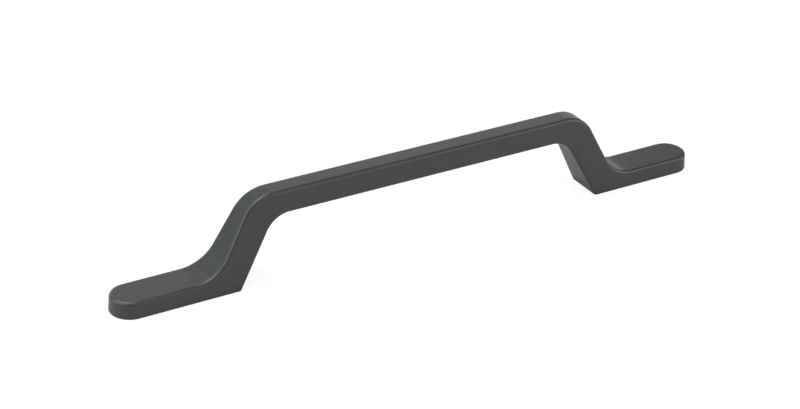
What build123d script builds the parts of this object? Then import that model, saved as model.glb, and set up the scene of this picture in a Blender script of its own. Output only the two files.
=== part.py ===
from build123d import *
from math import radians, tan
import os

# Driving dimensions, in millimetres, and angles in degrees.
# The handle lies along X. Its mounting face is on z = 0, and +Z points away from the drawer front.

# Plan of the casting, a straight bar with full round ends
OVERALL_LENGTH = 242.5
BASE_WIDTH = 15.1
SIDE_DRAFT = 6.45
END_DRAFT = 3.5

# Side view of the bow
PROJECTION = 33.5
GRIP_THICKNESS = 8.7
FOOT_THICKNESS = 6.35
LEG_ROOT = 12.1
LEG_SLOPE = 61.8
LEG_TAPER = 1.1

# Bends between the straight stretches of the side view
SHOULDER_BEND = 13.0
UNDER_BEND = 10.4
FOOT_BEND = 14.0

# Fixing holes, tapped M4 from the mounting face into the roots of the legs.
# A hole has the outer radius of its thread as deep as it is tapped, and the drill's radius behind that.
HOLE_SPACING = 160.0
HOLE_INSET = 5.0
THREAD_RADIUS = 2.0
THREAD_DEPTH = 6.8
DRILL_RADIUS = 1.65
DRILL_DEPTH = 8.0
DRILL_POINT = 118.0
MOUTH_CHAMFER = 0.25

# Edge roundings
TOP_EDGE = 1.1
UNDER_EDGE = 0.9
BASE_EDGE = 0.4

# How far the blanks run past the finished casting, and how near to a line an edge counts as on it
BLANK_MARGIN = 1.0
ON_LINE = 0.001

# Places worked out from the driving dimensions
HOLE_X = HOLE_SPACING / 2
ROOT_INNER_X = HOLE_X - HOLE_INSET
ROOT_OUTER_X = ROOT_INNER_X + LEG_ROOT
GRIP_UNDERSIDE = PROJECTION - GRIP_THICKNESS
UNDER_CORNER_X = ROOT_INNER_X - GRIP_UNDERSIDE / tan(radians(LEG_SLOPE - LEG_TAPER))
FOOT_CORNER_X = ROOT_OUTER_X - FOOT_THICKNESS / tan(radians(LEG_SLOPE))
SHOULDER_X = ROOT_OUTER_X - PROJECTION / tan(radians(LEG_SLOPE))
BLANK_END_X = OVERALL_LENGTH / 2 + BLANK_MARGIN


def side_point(x, z):
    """A point of the side view, on the plane y = 0."""
    return Vector(x, 0, z)


def upper_line():
    """The outside of the bow: foot, leg, grip, leg and foot, with bends at its corners."""
    return FilletPolyline(
        side_point(-BLANK_END_X, FOOT_THICKNESS),
        side_point(-FOOT_CORNER_X, FOOT_THICKNESS),
        side_point(-SHOULDER_X, PROJECTION),
        side_point(SHOULDER_X, PROJECTION),
        side_point(FOOT_CORNER_X, FOOT_THICKNESS),
        side_point(BLANK_END_X, FOOT_THICKNESS),
        radius=[FOOT_BEND, SHOULDER_BEND, SHOULDER_BEND, FOOT_BEND],
    )


def under_line():
    """The inside of the bow: the finger gap between the two legs."""
    return FilletPolyline(
        side_point(-ROOT_INNER_X, 0),
        side_point(-UNDER_CORNER_X, GRIP_UNDERSIDE),
        side_point(UNDER_CORNER_X, GRIP_UNDERSIDE),
        side_point(ROOT_INNER_X, 0),
        radius=UNDER_BEND,
    )


def bow_blank():
    """The side view carried across the full width of the handle."""
    left_foot = Polyline(
        side_point(-ROOT_INNER_X, 0),
        side_point(-BLANK_END_X, 0),
        side_point(-BLANK_END_X, FOOT_THICKNESS),
    )
    right_foot = Polyline(
        side_point(BLANK_END_X, FOOT_THICKNESS),
        side_point(BLANK_END_X, 0),
        side_point(ROOT_INNER_X, 0),
    )
    outline = Wire([*left_foot.edges(), *upper_line().edges(), *right_foot.edges(), *under_line().edges()])
    return extrude(Face(outline), amount=BASE_WIDTH / 2 + BLANK_MARGIN, both=True, dir=(0, 1, 0))


def drafted_bar():
    """The plan carried up from the mounting face, narrowing by the draft of its sides and ends."""
    rise = PROJECTION + BLANK_MARGIN
    top_length = OVERALL_LENGTH - 2 * rise * tan(radians(END_DRAFT))
    top_width = BASE_WIDTH - 2 * rise * tan(radians(SIDE_DRAFT))
    plan = SlotOverall(OVERALL_LENGTH, BASE_WIDTH)
    top = Pos(0, 0, rise) * SlotOverall(top_length, top_width)
    return loft([plan.face(), top.face()], ruled=True)


def rim(body, line):
    """The edges of a body that follow a line of the side view, along its two sides and round its ends."""

    def on_line(edge):
        middle = edge @ 0.5
        return line.distance_to(side_point(middle.X, middle.Z)) < ON_LINE

    straight_across = body.edges().filter_by(Axis.Y)
    return (body.edges() - straight_across).filter_by(on_line)


def tapped_hole(x):
    """The metal taken out by one blind hole: its threaded wall, the drill's wall and point, and its mouth."""
    upwards = (Align.CENTER, Align.CENTER, Align.MIN)
    thread = Cylinder(THREAD_RADIUS, THREAD_DEPTH, align=upwards)
    drill = Cylinder(DRILL_RADIUS, DRILL_DEPTH, align=upwards)
    point_rise = DRILL_RADIUS / tan(radians(DRILL_POINT / 2))
    point = Pos(0, 0, DRILL_DEPTH) * Cone(DRILL_RADIUS, 0, point_rise, align=upwards)
    mouth = Cone(THREAD_RADIUS + MOUTH_CHAMFER, THREAD_RADIUS, MOUTH_CHAMFER, align=upwards)
    return Pos(x, 0, 0) * (thread + drill + point + mouth)


def pull_handle():
    """The whole handle, one casting."""
    body = (bow_blank() & drafted_bar()).solid()
    body = fillet(rim(body, upper_line()), TOP_EDGE)
    body = fillet(rim(body, under_line()), UNDER_EDGE)
    mounting_faces = body.faces().group_by(Axis.Z)[0]
    body = fillet(mounting_faces.edges(), BASE_EDGE)
    return body - tapped_hole(-HOLE_X) - tapped_hole(HOLE_X)


handle = pull_handle()
handle.label = "pull_handle"
handle.color = Color(0.07, 0.07, 0.075)

os.makedirs("parts", exist_ok=True)
export_step(handle, "parts/pull_handle.step")
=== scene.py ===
import bpy
import math
import numpy as np
from bpy.props import FloatProperty, FloatVectorProperty, PointerProperty
from bpy.types import Operator, Panel, PropertyGroup
from mathutils import Matrix, Vector


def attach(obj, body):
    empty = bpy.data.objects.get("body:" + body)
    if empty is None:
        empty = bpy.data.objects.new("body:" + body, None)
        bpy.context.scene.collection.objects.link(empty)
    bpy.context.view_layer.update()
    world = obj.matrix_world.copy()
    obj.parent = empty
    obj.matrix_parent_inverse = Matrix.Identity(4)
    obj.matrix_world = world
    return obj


bl_info = {
    "name": "Cabinet Handle",
    "version": (1, 0, 0),
    "blender": (4, 5, 0),
    "location": "View3D > Sidebar > Handle",
    "description": "Finishes the cast cabinet handle and lights it on a white studio floor",
    "category": "Object",
}

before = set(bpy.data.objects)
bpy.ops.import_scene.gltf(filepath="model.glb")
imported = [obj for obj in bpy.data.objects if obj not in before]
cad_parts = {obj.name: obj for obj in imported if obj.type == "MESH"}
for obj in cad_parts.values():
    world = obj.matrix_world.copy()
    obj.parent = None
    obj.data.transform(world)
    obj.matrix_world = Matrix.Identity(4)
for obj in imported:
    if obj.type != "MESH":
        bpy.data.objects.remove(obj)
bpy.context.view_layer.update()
CASTING = "pull_handle"

# Width of the camera's sensor in millimetres, and the distances between which it sees, in metres
SENSOR_WIDTH = 36.0
CLIP_RANGE = (0.01, 50)

# Radius of the round floor in metres, and its corners
FLOOR_RADIUS = 0.6
FLOOR_SIDES = 96

# Height of the floor above the mounting faces, and how far it is open past the holes' walls, in metres
FLOOR_RISE = 0.0001
MOUTH_ROOM = 0.0005

# The floor where it is seen: the white that it gives by itself, and the grey that takes light and shadow
FLOOR_WHITE = 0.88
FLOOR_SHADE = (0.14, 0.14, 0.14, 1)

# White of the room, and the share of the room's and the floor's white that reflections show
WHITE = (1, 1, 1, 1)
GLOSSY_SHARE = 0.15

# Range in which nearly all values of a noise lie
NOISE_RANGE = (0.3, 0.7)

# Finer layers on the noises of the coat's colour, of its sheen, and of its ripples and specks
CLOUD_LAYERS = 3
MELT_LAYERS = 2
RELIEF_LAYERS = 1

# Ridge of a thread: its steps in one turn, and the corners of its section
TURN_STEPS = 48
CORNERS = 4

# The flat of its crest as a share of the pitch, and the lean of each flank in degrees
CREST_FLAT = 0.25
FLANK_LEAN = 30

# The angle in radians over which it grows at each end, and the share of its full size that it starts from
GROWTH_ANGLE = math.pi
LEAST_SIZE = 0.02

# How far it reaches into the wall of the hole, in metres
WALL_BITE = 0.00003

# Distance of all lamps from the handle in metres, and the colours of their light
LAMP_DISTANCE = 1.3
PLAIN = (1, 1, 1)
WARM = (1, 1, 0.91)
COOL = (0.95, 0.95, 1)

# Each lamp's name, azimuth from +Y towards +X and height above the horizon in degrees, width and height in
# metres, brightness and colour
SOFTBOXES = (
    ("key", 205, 65, 0.9, 0.6, 2.95, COOL),
    ("left", 290, 38, 1.6, 1.2, 0.35, PLAIN),
    ("left_low", 270, 20, 1.8, 0.8, 1.95, PLAIN),
    ("left_top", 270, 62, 1.4, 1.0, 1.80, PLAIN),
    ("back_low", 8, 14, 1.7, 0.5, 2.00, WARM),
    ("back_top", 350, 65, 0.9, 0.6, 3.65, WARM),
    ("back_right", 54, 3, 0.9, 0.34, 0.85, PLAIN),
    ("front_low", 150, 12, 0.8, 0.6, 2.20, COOL),
    ("right_low", 120, 16, 1.0, 0.7, 2.10, COOL),
    ("below", 200, -60, 2.0, 1.6, 2.50, PLAIN),
)


class HandleCoat(PropertyGroup):
    """The baked-on coat of the casting."""

    colour: FloatVectorProperty(
        name="Coat colour", description="Colour of the satin black coat",
        subtype="COLOR", size=3, min=0, max=1, default=(0.0330, 0.0370, 0.0400))
    unevenness: FloatProperty(
        name="Unevenness", description="How far the colour strays to either side, as a share of itself",
        subtype="FACTOR", min=0, max=1, default=0.06)
    cloud: FloatProperty(
        name="Cloud spacing", description="Distance between the paler and darker spots of the colour",
        subtype="DISTANCE", unit="LENGTH", default=0.005)
    roughness: FloatProperty(
        name="Coat roughness", description="How matt the coat is",
        subtype="FACTOR", min=0, max=1, default=0.32)
    roughness_play: FloatProperty(
        name="Sheen play", description="How far the roughness strays to either side",
        subtype="FACTOR", min=0, max=1, default=0.04)
    melt: FloatProperty(
        name="Melt spacing", description="Distance between the glossier and duller spots of the coat",
        subtype="DISTANCE", unit="LENGTH", default=0.0018)
    orange_peel: FloatProperty(
        name="Orange peel", description="Distance between the soft ripples of the sprayed coat",
        subtype="DISTANCE", unit="LENGTH", default=0.0012)
    peel_depth: FloatProperty(
        name="Peel depth", description="Height of the ripples from hollow to crest",
        subtype="DISTANCE", unit="LENGTH", default=0.000030)
    grain: FloatProperty(
        name="Grain", description="Distance between the finest specks of the coat",
        subtype="DISTANCE", unit="LENGTH", default=0.00025)
    grain_depth: FloatProperty(
        name="Grain depth", description="Height of the finest specks",
        subtype="DISTANCE", unit="LENGTH", default=0.000006)


class HandleThreads(PropertyGroup):
    """The threads of the two fixing holes, M4 as far as they show."""

    spacing: FloatProperty(
        name="Hole spacing", description="Distance between the two fixing holes",
        subtype="DISTANCE", unit="LENGTH", default=0.160)
    outer_radius: FloatProperty(
        name="Outer radius", description="Radius of the hole's wall, at the roots of its thread",
        subtype="DISTANCE", unit="LENGTH", default=0.0020)
    crest_radius: FloatProperty(
        name="Crest radius", description="Radius at the crests of the thread, that of the drilled hole",
        subtype="DISTANCE", unit="LENGTH", default=0.00165)
    pitch: FloatProperty(
        name="Pitch", description="Rise of the thread in one turn",
        subtype="DISTANCE", unit="LENGTH", default=0.0007)
    first: FloatProperty(
        name="First turn", description="Height at which the thread starts, behind the chamfer of the mouth",
        subtype="DISTANCE", unit="LENGTH", default=0.00045)
    last: FloatProperty(
        name="Last turn", description="Height at which the thread stops, short of the drilled bottom",
        subtype="DISTANCE", unit="LENGTH", default=0.0064)


class HandleStage(PropertyGroup):
    """The floor, the lamps and the camera."""

    camera_place: FloatVectorProperty(
        name="Camera place", description="Where the camera stands", subtype="TRANSLATION",
        unit="LENGTH", size=3, default=(-0.34936, -0.53358, 0.37111))
    camera_azimuth: FloatProperty(
        name="Camera azimuth", description="Turn of the camera's aim from +Y towards +X",
        subtype="ANGLE", default=math.radians(30.704))
    camera_dip: FloatProperty(
        name="Camera dip", description="How far the camera's aim points below the horizon",
        subtype="ANGLE", default=math.radians(29.518))
    camera_roll: FloatProperty(
        name="Camera roll", description="Tilt of the picture about the camera's aim",
        subtype="ANGLE", default=math.radians(1.937))
    lens: FloatProperty(
        name="Lens", description="Focal length of the lens in millimetres", default=91.19)
    shift: FloatProperty(
        name="Lens shift", description="Sideways shift of the lens, as a share of the picture's width",
        default=0.075)
    floor_colour: FloatVectorProperty(
        name="Floor colour", description="Colour of the studio floor",
        subtype="COLOR", size=3, min=0, max=1, default=(0.60, 0.60, 0.60))
    room_light: FloatProperty(
        name="Room light", description="Strength of the even light of the room", min=0, default=0.04)
    lamp_level: FloatProperty(
        name="Lamp level", description="Strength of all the softboxes together", min=0, default=1)


def noise(nodes, links, spacing, layers):
    """Noise on the piece's own coordinates: soft spots about one spacing apart, with finer layers."""
    place = nodes.new("ShaderNodeTexCoord")
    spots = nodes.new("ShaderNodeTexNoise")
    spots.inputs["Scale"].default_value = 1 / spacing
    spots.inputs["Detail"].default_value = layers
    links.new(place.outputs["Object"], spots.inputs["Vector"])
    return spots.outputs["Fac"]


def between(nodes, links, factor, low, high):
    """The middle of a noise's range carried to the range from low to high."""
    span = nodes.new("ShaderNodeMapRange")
    span.inputs["From Min"].default_value, span.inputs["From Max"].default_value = NOISE_RANGE
    span.inputs["To Min"].default_value, span.inputs["To Max"].default_value = low, high
    links.new(factor, span.inputs["Value"])
    return span.outputs["Result"]


def bump(nodes, links, height, depth, under=None):
    """A normal tipped by a height whose depth is in metres, on top of another such normal if given."""
    tip = nodes.new("ShaderNodeBump")
    tip.inputs["Distance"].default_value = depth
    links.new(height, tip.inputs["Height"])
    if under:
        links.new(under, tip.inputs["Normal"])
    return tip.outputs["Normal"]


def coat_material(coat):
    """Satin black powder coat.

    The colour is dark and cool, and hardly uneven where the powder lies thicker or thinner. Soft ripples of
    a sprayed and baked film, with fine specks on them, break up the reflections, and the film's melt is a
    little uneven, which varies its sheen.
    """
    material = bpy.data.materials.new("satin_black_coat")
    material.use_nodes = True
    nodes, links = material.node_tree.nodes, material.node_tree.links
    shader = nodes["Principled BSDF"]

    tone = nodes.new("ShaderNodeMix")
    tone.data_type = "RGBA"
    tone.inputs["A"].default_value = (*[part * (1 - coat.unevenness) for part in coat.colour], 1)
    tone.inputs["B"].default_value = (*[part * (1 + coat.unevenness) for part in coat.colour], 1)
    cloud = noise(nodes, links, coat.cloud, CLOUD_LAYERS)
    links.new(between(nodes, links, cloud, 0, 1), tone.inputs["Factor"])
    links.new(tone.outputs["Result"], shader.inputs["Base Color"])

    melt = noise(nodes, links, coat.melt, MELT_LAYERS)
    glossiest, dullest = coat.roughness - coat.roughness_play, coat.roughness + coat.roughness_play
    links.new(between(nodes, links, melt, glossiest, dullest), shader.inputs["Roughness"])

    peel = noise(nodes, links, coat.orange_peel, RELIEF_LAYERS)
    ripples = bump(nodes, links, peel, coat.peel_depth)
    grain = noise(nodes, links, coat.grain, RELIEF_LAYERS)
    specks = bump(nodes, links, grain, coat.grain_depth, ripples)
    links.new(specks, shader.inputs["Normal"])
    return material


def thread_ridge(name, x, thread):
    """The ridge of one hole's thread: a trapezoid carried up a helix.

    An angle runs evenly from the first turn to the last, and each turn of it rises by one pitch. At every
    angle the trapezoid has two points just inside the wall of the hole and two on the crest, nearer the
    hole's axis, and its flanks spread from the crest's flat to the wall at their lean. Towards both ends,
    height and flat shrink evenly to nearly nothing, as where a tap starts and stops.
    """
    turns = (thread.last - thread.first) / thread.pitch
    angle = np.linspace(0, 2 * math.pi * turns, int(TURN_STEPS * turns) + 1)
    grown = np.clip(np.minimum(angle, angle[-1] - angle) / GROWTH_ANGLE, LEAST_SIZE, 1)
    height = (thread.outer_radius - thread.crest_radius) * grown
    crest_half = CREST_FLAT / 2 * thread.pitch * grown
    root_half = crest_half + (height + WALL_BITE) * math.tan(math.radians(FLANK_LEAN))
    wall = np.full_like(angle, thread.outer_radius + WALL_BITE)
    crest = thread.outer_radius - height
    radius = np.stack([wall, crest, crest, wall], 1)
    offset = np.stack([-root_half, -crest_half, crest_half, root_half], 1)
    points = np.stack([
        x + radius * np.cos(angle)[:, None],
        radius * np.sin(angle)[:, None],
        thread.first + thread.pitch * angle[:, None] / (2 * math.pi) + offset], 2)
    ring = np.arange(len(angle) - 1)[:, None] * CORNERS
    corner = np.arange(CORNERS)[None, :]
    after = (corner + 1) % CORNERS
    above = ring + CORNERS
    sides = np.stack([ring + corner, ring + after, above + after, above + corner], 2).reshape(-1, CORNERS)
    end = CORNERS * (len(angle) - 1)
    first_face = list(reversed(range(CORNERS)))
    last_face = list(range(end, end + CORNERS))
    faces = sides.tolist() + [first_face, last_face]
    mesh = bpy.data.meshes.new(name)
    mesh.from_pydata(points.reshape(-1, 3), [], faces)
    piece = bpy.data.objects.new(name, mesh)
    bpy.context.scene.collection.objects.link(piece)
    return piece


def softbox(name, azimuth, height_angle, width, height, brightness, colour):
    """A soft rectangular lamp that faces the handle from an azimuth and a height above the horizon.

    Its power is pi times its area times its brightness, so that a larger lamp isn't a dimmer one.
    """
    data = bpy.data.lights.new(name, "AREA")
    data.shape = "RECTANGLE"
    data.size, data.size_y = width, height
    data.energy = brightness * math.pi * width * height
    data.color = colour
    lamp = bpy.data.objects.new(name, data)
    bpy.context.scene.collection.objects.link(lamp)
    turn, rise = math.radians(azimuth), math.radians(height_angle)
    away = Vector((math.sin(turn) * math.cos(rise), math.cos(turn) * math.cos(rise), math.sin(rise)))
    lamp.location = away * LAMP_DISTANCE
    lamp.rotation_mode = "QUATERNION"
    lamp.rotation_quaternion = (-away).to_track_quat("-Z", "Y")
    lamp.visible_camera = False


def either(nodes, links, first, second):
    """The larger of two factors."""
    larger = nodes.new("ShaderNodeMath")
    larger.operation = "MAXIMUM"
    links.new(first, larger.inputs[0])
    links.new(second, larger.inputs[1])
    return larger.outputs[0]


def mixed(nodes, links, factor, first, second):
    """The first shader where a factor is 0, and the second where it is 1."""
    mix = nodes.new("ShaderNodeMixShader")
    links.new(factor, mix.inputs[0])
    links.new(first.outputs[0], mix.inputs[1])
    links.new(second.outputs[0], mix.inputs[2])
    return mix


def shown_white(nodes, links):
    """A factor: 1 where the camera or a clear material sees the stage, and a share of it in reflections."""
    path = nodes.new("ShaderNodeLightPath")
    glossy = nodes.new("ShaderNodeMath")
    glossy.operation = "MULTIPLY"
    glossy.inputs[1].default_value = GLOSSY_SHARE
    links.new(path.outputs["Is Glossy Ray"], glossy.inputs[0])
    clear = either(nodes, links, path.outputs["Is Transmission Ray"], glossy.outputs[0])
    return either(nodes, links, path.outputs["Is Camera Ray"], clear)


def floor_disc():
    """A flat round floor, small enough to be lit evenly: points at even angles on a circle.

    It lies a hair above the mounting faces, so that the lamp below lights only them and the holes.
    """
    angle = np.arange(FLOOR_SIDES) * 2 * math.pi / FLOOR_SIDES
    rise = np.full(FLOOR_SIDES, FLOOR_RISE)
    points = np.stack([FLOOR_RADIUS * np.cos(angle), FLOOR_RADIUS * np.sin(angle), rise], 1)
    mesh = bpy.data.meshes.new("floor")
    mesh.from_pydata(points, [], [tuple(range(FLOOR_SIDES))])
    floor = bpy.data.objects.new("floor", mesh)
    bpy.context.scene.collection.objects.link(floor)
    return floor


def over_holes(nodes, links, thread):
    """A factor: 1 near the axes of the two fixing holes, with the left half mirrored onto the right."""
    place = nodes.new("ShaderNodeTexCoord")
    mirrored = nodes.new("ShaderNodeVectorMath")
    mirrored.operation = "ABSOLUTE"
    links.new(place.outputs["Object"], mirrored.inputs[0])
    away = nodes.new("ShaderNodeVectorMath")
    away.operation = "DISTANCE"
    away.inputs[1].default_value = (thread.spacing / 2, 0, FLOOR_RISE)
    links.new(mirrored.outputs["Vector"], away.inputs[0])
    near = nodes.new("ShaderNodeMath")
    near.operation = "LESS_THAN"
    near.inputs[1].default_value = thread.outer_radius + MOUTH_ROOM
    links.new(away.outputs["Value"], near.inputs[0])
    return near.outputs[0]


def floor_material(stage, thread):
    """Pale studio floor: white with a faint shadow where it is seen, plain pale where it passes light on.

    It is clear from below, and open in the mouths of the holes, which the handle's feet hide from above.
    """
    material = bpy.data.materials.new("studio_floor")
    material.use_nodes = True
    nodes, links = material.node_tree.nodes, material.node_tree.links
    nodes.clear()
    pale = nodes.new("ShaderNodeBsdfDiffuse")
    pale.inputs["Color"].default_value = (*stage.floor_colour, 1)
    shade = nodes.new("ShaderNodeBsdfDiffuse")
    shade.inputs["Color"].default_value = FLOOR_SHADE
    white = nodes.new("ShaderNodeEmission")
    white.inputs["Strength"].default_value = FLOOR_WHITE
    seen = nodes.new("ShaderNodeAddShader")
    links.new(shade.outputs[0], seen.inputs[0])
    links.new(white.outputs[0], seen.inputs[1])
    upper = mixed(nodes, links, shown_white(nodes, links), pale, seen)
    side = nodes.new("ShaderNodeNewGeometry")
    opened = either(nodes, links, side.outputs["Backfacing"], over_holes(nodes, links, thread))
    clear = nodes.new("ShaderNodeBsdfTransparent")
    whole = mixed(nodes, links, opened, upper, clear)
    out = nodes.new("ShaderNodeOutputMaterial")
    links.new(whole.outputs[0], out.inputs["Surface"])
    return material


def studio_world(stage):
    """White where it is seen, and a dim even room for all other rays."""
    world = bpy.data.worlds.new("studio_world")
    bpy.context.scene.world = world
    world.use_nodes = True
    nodes, links = world.node_tree.nodes, world.node_tree.links
    nodes.clear()
    room = nodes.new("ShaderNodeBackground")
    room.inputs["Color"].default_value = WHITE
    room.inputs["Strength"].default_value = stage.room_light
    white = nodes.new("ShaderNodeBackground")
    white.inputs["Color"].default_value = WHITE
    whole = mixed(nodes, links, shown_white(nodes, links), room, white)
    out = nodes.new("ShaderNodeOutputWorld")
    links.new(whole.outputs[0], out.inputs["Surface"])


def photo_camera(stage):
    """The photograph's camera, from its place, the direction of its aim and its roll."""
    data = bpy.data.cameras.new("photo_camera")
    data.sensor_width = SENSOR_WIDTH
    data.lens = stage.lens
    data.shift_x = stage.shift
    data.clip_start, data.clip_end = CLIP_RANGE
    camera = bpy.data.objects.new("photo_camera", data)
    bpy.context.scene.collection.objects.link(camera)
    turn = Matrix.Rotation(-stage.camera_azimuth, 4, "Z")
    tip = Matrix.Rotation(math.pi / 2 - stage.camera_dip, 4, "X")
    roll = Matrix.Rotation(stage.camera_roll, 4, "Z")
    camera.matrix_world = Matrix.Translation(stage.camera_place) @ turn @ tip @ roll
    bpy.context.scene.camera = camera


class HANDLE_OT_coat(Operator):
    """Coats the casting"""

    bl_idname = "handle.coat"
    bl_label = "Coat the casting"

    def execute(self, context):
        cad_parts[CASTING].material_slots[0].material = coat_material(context.scene.handle_coat)
        return {"FINISHED"}


class HANDLE_OT_threads(Operator):
    """Cuts the threads of the two fixing holes"""

    bl_idname = "handle.threads"
    bl_label = "Cut the threads"

    def execute(self, context):
        thread = context.scene.handle_threads
        for name, side in (("fixing_thread_left", -1), ("fixing_thread_right", 1)):
            piece = thread_ridge(name, side * thread.spacing / 2, thread)
            piece.data.materials.append(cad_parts[CASTING].material_slots[0].material)
            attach(piece, "root")
        return {"FINISHED"}


class HANDLE_OT_stage(Operator):
    """Makes the floor, the lamps, the room and the camera"""

    bl_idname = "handle.stage"
    bl_label = "Set the stage"

    def execute(self, context):
        stage = context.scene.handle_stage
        floor = floor_disc()
        floor.data.materials.append(floor_material(stage, context.scene.handle_threads))
        studio_world(stage)
        for name, azimuth, height_angle, width, height, brightness, colour in SOFTBOXES:
            softbox(name, azimuth, height_angle, width, height, brightness * stage.lamp_level, colour)
        photo_camera(stage)
        return {"FINISHED"}


class HANDLE_PT_panel(Panel):
    """Lists the steps that finish the handle"""

    bl_label = "Cabinet Handle"
    bl_idname = "HANDLE_PT_panel"
    bl_space_type = "VIEW_3D"
    bl_region_type = "UI"
    bl_category = "Handle"

    def draw(self, context):
        scene = context.scene
        for settings in (scene.handle_coat, scene.handle_threads, scene.handle_stage):
            for name in settings.__annotations__:
                self.layout.prop(settings, name)
        for step in (HANDLE_OT_coat, HANDLE_OT_threads, HANDLE_OT_stage):
            self.layout.operator(step.bl_idname)


CLASSES = (
    HandleCoat,
    HandleThreads,
    HandleStage,
    HANDLE_OT_coat,
    HANDLE_OT_threads,
    HANDLE_OT_stage,
    HANDLE_PT_panel,
)


def register():
    for cls in CLASSES:
        bpy.utils.register_class(cls)
    bpy.types.Scene.handle_coat = PointerProperty(type=HandleCoat)
    bpy.types.Scene.handle_threads = PointerProperty(type=HandleThreads)
    bpy.types.Scene.handle_stage = PointerProperty(type=HandleStage)


def unregister():
    del bpy.types.Scene.handle_stage
    del bpy.types.Scene.handle_threads
    del bpy.types.Scene.handle_coat
    for cls in reversed(CLASSES):
        bpy.utils.unregister_class(cls)


def main():
    register()
    bpy.ops.handle.coat()
    bpy.ops.handle.threads()
    bpy.ops.handle.stage()
    bpy.context.scene.view_settings.view_transform = "Standard"


if __name__ == "__main__":
    main()
